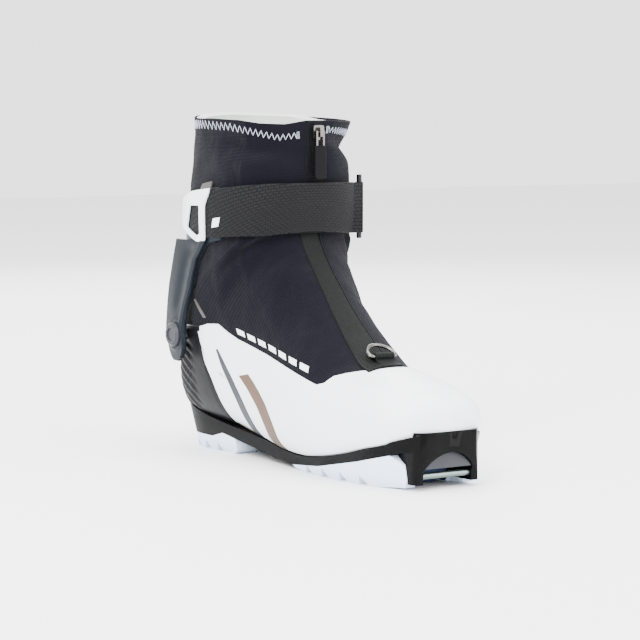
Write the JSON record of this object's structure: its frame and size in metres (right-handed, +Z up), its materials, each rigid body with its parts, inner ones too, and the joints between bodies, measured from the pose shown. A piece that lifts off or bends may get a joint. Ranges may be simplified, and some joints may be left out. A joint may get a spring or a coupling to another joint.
{
  "type": "cross country ski boot",
  "caption": "Right cross country ski boot with a toe binding bar, padded upper, zipped softshell gaiter and a hinged ankle cuff closed by a ring strap",
  "frame": {"origin": "centre of the bounding box in plan, on the floor under the sole", "axes": "+X heel to toe, +Y towards the inner side of the right foot, +Z up"},
  "size_m": [0.2758, 0.1172, 0.2231],
  "materials": {
    "shell_white": "satin polyurethane overlay",
    "counter_black": "satin moulded",
    "sole_black": "polished nylon",
    "tread_pale": "moulded rubber",
    "sole_blue": "moulded rubber",
    "insert_grey": "satin moulded",
    "steel": "ground",
    "nickel": "polished",
    "softshell": "knitted softshell",
    "storm_flap": "coated ribbed tape",
    "zip_black": "moulded",
    "lining": "brushed fleece",
    "webbing": "woven elastic webbing",
    "cuff_dark": "satin moulded",
    "cap_white": "moulded",
    "pivot_metal": "turned",
    "ring_dark": "black lacquer",
    "pull_rubber": "moulded",
    "board": "pressed fibre",
    "footbed": "foam with cloth face"
  },
  "bodies": {
    "boot": {"sole_plate": "sole_black", "binding_bar": "steel", "outsole_forefoot": "tread_pale", "outsole_heel": "tread_pale", "toe_guide_block": "sole_blue", "toe_recess_insert": "insert_grey", "shell_upper": "shell_white", "heel_counter": "counter_black", "lasting_board": "board", "footbed": "footbed", "gaiter_lower_lateral": "softshell", "gaiter_lower_medial": "softshell", "gaiter_flex": "softshell", "storm_flap_lower": "storm_flap", "storm_flap_flex": "storm_flap", "liner_lower": "lining", "liner_flex": "lining", "tongue": "lining", "pivot_rivet_lateral": "steel", "pivot_rivet_medial": "steel", "pivot_cap_lateral": "pivot_metal", "pivot_cap_medial": "pivot_metal", "d_ring_tab": "webbing"},
    "cuff": {"cuff_shell": "cuff_dark", "cuff_cap_lateral": "cap_white", "cuff_cap_medial": "cap_white", "strap_base": "webbing", "ring_strap": "webbing", "strap_ring": "ring_dark", "strap_fold": "webbing", "gaiter_upper": "softshell", "liner_upper": "lining", "collar_lining": "lining", "zip_tape": "storm_flap", "zip_teeth": "zip_black", "rear_pull_loop": "webbing"},
    "strap_flap": {"strap_flap": "webbing"},
    "zip_slider": {"zip_slider": "nickel"},
    "zip_pull": {"pull_link": "nickel", "pull_tab": "pull_rubber"},
    "d_ring": {"d_ring": "nickel"}
  },
  "joints": [
    {"name": "cuff_lean", "type": "hinge", "parent": "boot", "child": "cuff", "pos_m": [-0.098, 0, 0.0785], "axis": [0, 1, 0], "range_deg": [-6, 20], "deforming": ["gaiter_flex", "liner_flex", "storm_flap_flex", "tongue"]},
    {"name": "strap_open", "type": "hinge", "parent": "cuff", "child": "strap_flap", "pos_m": [-0.02421, 0.04364, 0.165], "axis": [0, 0, 1], "range_deg": [0, 110], "deforming": ["strap_fold"]},
    {"name": "zip_slide", "type": "slide", "parent": "cuff", "child": "zip_slider", "axis": [0, 0, -1], "range_m": [0, 0.022]},
    {"name": "zip_pull_swing", "type": "hinge", "parent": "zip_slider", "child": "zip_pull", "pos_m": [-0.0049, 0, 0.214], "axis": [0, -1, 0], "range_deg": [0, 150]},
    {"name": "d_ring_swing", "type": "hinge", "parent": "boot", "child": "d_ring", "pos_m": [0.067, 0, 0.075], "axis": [0, 1, 0], "range_deg": [0, 120]}
  ]
}
